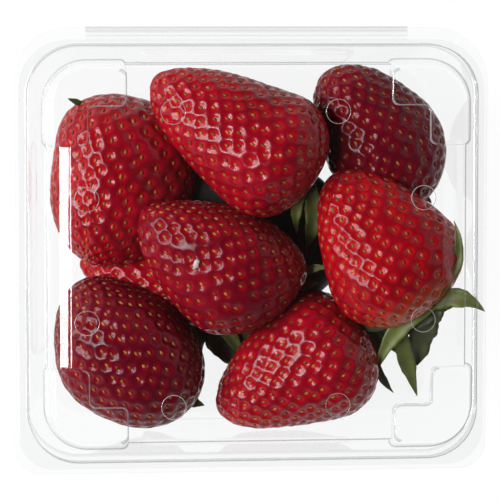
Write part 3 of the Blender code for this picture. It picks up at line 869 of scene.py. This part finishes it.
def build_lid(mat, bent, rim):
    """The lid as formed sheet: ring wall, shoulder, step, sloped band, top, lugs, vents and flange."""
    z = LID_UNDER + SHEET_MIDDLE
    sections, bends = [], []

    def add(inset, rise, bend):
        radius = RING_RADIUS - inset
        plan = (RING[0] - inset, RING[1] - inset, RING[2] + inset)
        sections.append(ring(*plan, radius, radius, z + rise, **LID_COUNTS))
        bends.append(bend)

    def add_step(inset, rise, bend):
        radius = RING_RADIUS - RING[0] + STEP[0] - inset
        height = z + SHOULDER_RISE + rise
        section = even_ring(STEP[0] - inset, STEP[1] - inset, radius, height, **LID_COUNTS)
        sections.append([(x + STEP_SHIFT, y, height) for x, y, _ in section])
        bends.append(bend)

    for inset, rise, bend in WALL_LEVELS:
        add(inset, rise, bend)
    for step in range(5):
        angle = math.radians(90 * step / 4)
        inset = SHOULDER_INSET + SHOULDER_ROUNDING * (1 - math.cos(angle))
        add(inset, SHOULDER_RISE - SHOULDER_ROUNDING + SHOULDER_ROUNDING * math.sin(angle), True)
    for inset, rise, bend in STEP_LEVELS:
        add_step(inset, rise, bend)
    lid = closed("lid_shell", sections, mats=(mat, bent), bends=bends)
    lugs = []
    for number, mirror in enumerate(((1, 1), (-1, 1), (-1, -1), (1, -1))):
        length = (LUG_LENGTH, LUG_LENGTH + (BACK_LUG_EXTRA if mirror[1] > 0 else 0.0))
        rings = [lug_outline(out, inner, z + rise, length) for rise, out, inner, _ in LUG_LEVELS]
        lug_bends = [level[3] for level in LUG_LEVELS]
        lugs.append(closed(f"lug_{number}", rings, mirror, LUG_SHIFTS[mirror], (mat, bent), lug_bends))
    boolean(lid, lugs, "UNION")
    holes = []
    turns = np.linspace(0, 2 * math.pi, VENT_SIDES, endpoint=False)
    for number, (x, y) in enumerate(VENTS):
        rings = []
        for height in (z + TOP_RISE - VENT_CUT_BELOW, z + TOP_RISE + VENT_CUT_ABOVE):
            circle = [(x + VENT_RADIUS * math.cos(a), y + VENT_RADIUS * math.sin(a)) for a in turns]
            rings.append([(*point, height) for point in circle])
        holes.append(closed(f"vent_{number}", rings, mats=(mat, bent), bends=(True, True)))
    boolean(lid, holes, "DIFFERENCE")
    # Only the outer sheet stays: the closed form's underside and the vents' hidden walls go
    shape = bmesh.new()
    shape.from_mesh(lid.data)
    gone = []
    for face in shape.faces:
        centre = face.calc_center_median() / MM
        under = centre.z < z - 0.6
        skirt = abs(face.normal.z) < 0.01 and centre.z < z - 0.1
        vent = any(math.hypot(centre.x - x, centre.y - y) < VENT_RADIUS + 0.01 for x, y in VENTS)
        hole = vent and centre.z < z + TOP_RISE - 0.6
        if under or skirt or hole:
            gone.append(face)
    bmesh.ops.delete(shape, geom=gone, context="FACES")
    shape.to_mesh(lid.data)
    shape.free()
    lid.data.polygons.foreach_set("use_smooth", [True] * len(lid.data.polygons))
    lid.data.set_sharp_from_angle(angle=math.radians(35))
    # Flange: a flat sheet from the ring wall's foot out to a small turned-down lip
    foot = (RING[0] + RING_FOOT, RING[1] + RING_FOOT, RING[2] - RING_FOOT)
    rings = [ring(*foot, RING_RADIUS + RING_FOOT, RING_RADIUS + RING_FOOT, z)]
    for inset, drop in LID_LIP:
        plan = (LID_FLANGE[0] - inset, LID_FLANGE[1] - inset, LID_FLANGE[2] + inset)
        rings.append(ring(*plan, LID_RADII[0] - inset, LID_RADII[1] - inset, z - drop))
    points = [point for section in rings for point in section]
    flange = mesh_object("lid_flange", points, loft_faces(len(rings[0]), len(rings)), rim)
    flange.data.set_sharp_from_angle(angle=math.radians(50))
    return lid, flange


def build_vent_rims(mat):
    """The small rolled edge round each vent. Its material's darker tint and strong haze draw a thin ring:
    painted shade and painted reflection.
    """
    around, tube = VENT_SIDES, VENT_ROLL_SIDES
    middle = LID_UNDER + SHEET_MIDDLE + VENT_ROLL_RISE + TOP_RISE
    points, faces = [], []
    for x, y in VENTS:
        start = len(points)
        for i in range(around):
            turn = 2 * math.pi * i / around
            for j in range(tube):
                roll = 2 * math.pi * j / tube
                reach = VENT_RADIUS + VENT_ROLL[0] * math.cos(roll)
                height = middle + VENT_ROLL[1] * math.sin(roll)
                points.append((x + reach * math.cos(turn), y + reach * math.sin(turn), height))
        for i in range(around):
            for j in range(tube):
                a, b = start + i * tube, start + (i + 1) % around * tube
                faces.append((a + j, b + j, b + (j + 1) % tube, a + (j + 1) % tube))
    return mesh_object("vent_rims", points, faces, mat)


def build_hinge(mat, bent):
    """The bent hinge: the lid's tab with its bead, and the fold down to the tub's flange."""
    z = LID_UNDER + HINGE_RISE
    profile = [(LID_FLANGE[1] - 0.4, z, 0), (HINGE_BEAD_Y - 0.75, z, 1)]
    for step in range(9):
        angle = math.pi * step / 8
        y = HINGE_BEAD_Y - HINGE_BEAD[0] * math.cos(angle)
        profile.append((y, z + HINGE_BEAD[1] * math.sin(angle), 1 if step in BEAD_BENDS else 0))
    profile += [(TAB_END[0], z, 0), (TAB_END[1], z, 1)]
    for step in range(9):
        angle = math.pi * step / 8
        y, height = FOLD[0] + FOLD_RADII[0] * math.sin(angle), FOLD[1] + FOLD_RADII[1] * math.cos(angle)
        profile.append((y, height, 1))
    profile.append((*FOLD_FOOT, 0))
    lengths = [-HINGE_HALF, -HINGE_HALF + 0.5]
    lengths += list(np.linspace(-HINGE_HALF + 2, HINGE_HALF - 2, 40))
    lengths += [HINGE_HALF - 0.5, HINGE_HALF]
    points, faces, marks = [], [], []
    for x in lengths:
        end = smoothstep(0.0, 2.0, HINGE_HALF - abs(x))
        for y, height, _ in profile:
            # The bead fades out at both ends of the tab
            if HINGE_BEAD_Y - 0.8 < y < HINGE_BEAD_Y + 0.8 and height > z:
                height = z + (height - z) * end
            points.append((x + HINGE_SHIFT, y, height))
    row = len(profile)
    for i in range(len(lengths) - 1):
        for j in range(row - 1):
            a = i * row + j
            faces.append((a, a + 1, a + row + 1, a + row))
            marks.append(profile[j][2])
    made = mesh_object("hinge_fold", points, faces, mat)
    # Faces on the bead's bends and the fold take hinge_bend: painted grey lines of shade
    made.data.materials.append(bent)
    made.data.polygons.foreach_set("material_index", marks)
    return made


def build_core():
    """The low dull core that stands for what the berries hide, near-black as painted shade in the gaps
    between them.
    """
    rings = []
    for step in range(1, 16):
        polar = math.pi * step / 16
        section = []
        for side in range(32):
            turn = 2 * math.pi * side / 32
            x = CORE_CENTRE[0] + CORE_RADII[0] * math.sin(polar) * math.cos(turn)
            y = CORE_CENTRE[1] + CORE_RADII[1] * math.sin(polar) * math.sin(turn)
            section.append((x, y, CORE_CENTRE[2] + CORE_RADII[2] * math.cos(polar)))
        rings.append(section)
    return closed("heap_core", rings)


def build_fruit():
    """The berries with their seeds, the scuff, the core and the crowns, in place of the fused solid."""
    skins = {name: berry_skin(name, *values) for name, values in SKINS.items()}
    greens = [dull_surface(name, *tones) for name, tones in GREENS.items()]
    fruit, places = [], []
    for name, sizes in BERRIES.items():
        places.append(build_berry(f"berry_{name}", sizes, skins[SKIN_OF.get(name, "skin_ripe")]))
        fruit.append(bpy.data.objects[f"berry_{name}"])
    fruit.append(build_seeds(places, seed_coat()))
    fruit.append(build_scuff(BERRIES["middle"], *SCUFF_PLACE, dull_surface("scuffed_skin", *SCUFF_TONES)))
    core = build_core()
    core.data.materials.append(dull_surface("heap_shade", *SHADE_TONES))
    fruit.append(core)
    for name, leaves in CROWNS.items():
        fruit += build_crown(name, leaves, greens)
    for piece in fruit:
        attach(piece, "tub")
        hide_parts("strawberries")


def build_pack():
    """The tub, the lid and the hinge between them."""
    plastic = {name: clear_plastic(name, *values) for name, values in PLASTICS.items()}
    tub = build_tub(plastic["tub_plastic"], plastic["tub_bend"])
    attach(tub, "tub")
    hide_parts("tub")
    lid = build_lid(plastic["lid_plastic"], plastic["lid_bend"], plastic["flange_plastic"])
    for piece in (*lid, build_vent_rims(plastic["vent_rim"])):
        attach(piece, "lid")
        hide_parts("lid")
    hinge = build_hinge(plastic["lid_plastic"], plastic["hinge_bend"])
    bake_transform(hinge)


def build_stage():
    """A plain pale floor, soft surroundings that darken overhead, and the lights."""
    floor_paint = material("floor_paint")
    paint = node(floor_paint, "ShaderNodeBsdfDiffuse", Color=(0.05, 0.05, 0.05, 1))
    glow = node(floor_paint, "ShaderNodeEmission", Color=(1, 1, 1, 1), Strength=0.96)
    both = node(floor_paint, "ShaderNodeAddShader")
    out = node(floor_paint, "ShaderNodeOutputMaterial")
    wire(
        floor_paint,
        (paint.outputs["BSDF"], both.inputs[0]),
        (glow.outputs["Emission"], both.inputs[1]),
        (both.outputs["Shader"], out.inputs["Surface"]),
    )
    corners = [(x * FLOOR_HALF, y * FLOOR_HALF, 0) for x, y in ((-1, -1), (1, -1), (1, 1), (-1, 1))]
    floor = mesh_object("floor", corners, [(0, 1, 2, 3)], floor_paint)
    world = bpy.data.worlds.new("studio")
    world.use_nodes = True
    tree = world.node_tree
    direction = tree.nodes.new("ShaderNodeTexCoord")
    split = tree.nodes.new("ShaderNodeSeparateXYZ")
    sky = tree.nodes.new("ShaderNodeValToRGB")
    while len(sky.color_ramp.elements) < len(SKY):
        sky.color_ramp.elements.new(0.5)
    for element, (height, level) in zip(sky.color_ramp.elements, SKY):
        element.position = height
        element.color = (level, level, level, 1)
    tree.links.new(direction.outputs["Generated"], split.inputs[0])
    tree.links.new(split.outputs["Z"], sky.inputs["Fac"])
    tree.links.new(sky.outputs["Color"], tree.nodes["Background"].inputs["Color"])
    bpy.context.scene.world = world

    for name, (place, aim, width, height, power) in LIGHTS.items():
        lamp = bpy.data.lights.new(name, "AREA")
        lamp.shape = "RECTANGLE"
        lamp.size, lamp.size_y, lamp.energy = width, height, power
        made = bpy.data.objects.new(name, lamp)
        bpy.context.scene.collection.objects.link(made)
        made.location = place
        made.rotation_euler = (Vector(aim) - Vector(place)).to_track_quat("-Z", "Y").to_euler()


def build_camera():
    """About 7 degrees off straight down, from slightly behind and left, as the lid's steps show."""
    lens = bpy.data.cameras.new("camera")
    lens.sensor_width = CAMERA_SENSOR
    lens.lens = CAMERA_LENS
    lens.clip_start = 0.05
    made = bpy.data.objects.new("camera", lens)
    bpy.context.scene.collection.objects.link(made)
    place, target = Vector(CAMERA_PLACE), Vector(CAMERA_AIM)
    back = (place - target).normalized()
    right = Vector((0, 1, 0)).cross(back).normalized()
    up = back.cross(right)
    made.location = place
    made.rotation_euler = Matrix((right, up, back)).transposed().to_euler()
    bpy.context.scene.camera = made


build_fruit()
build_pack()
build_stage()
build_camera()
bpy.context.scene.view_settings.view_transform = "Standard"
bpy.context.scene.cycles.transparent_max_bounces = 24
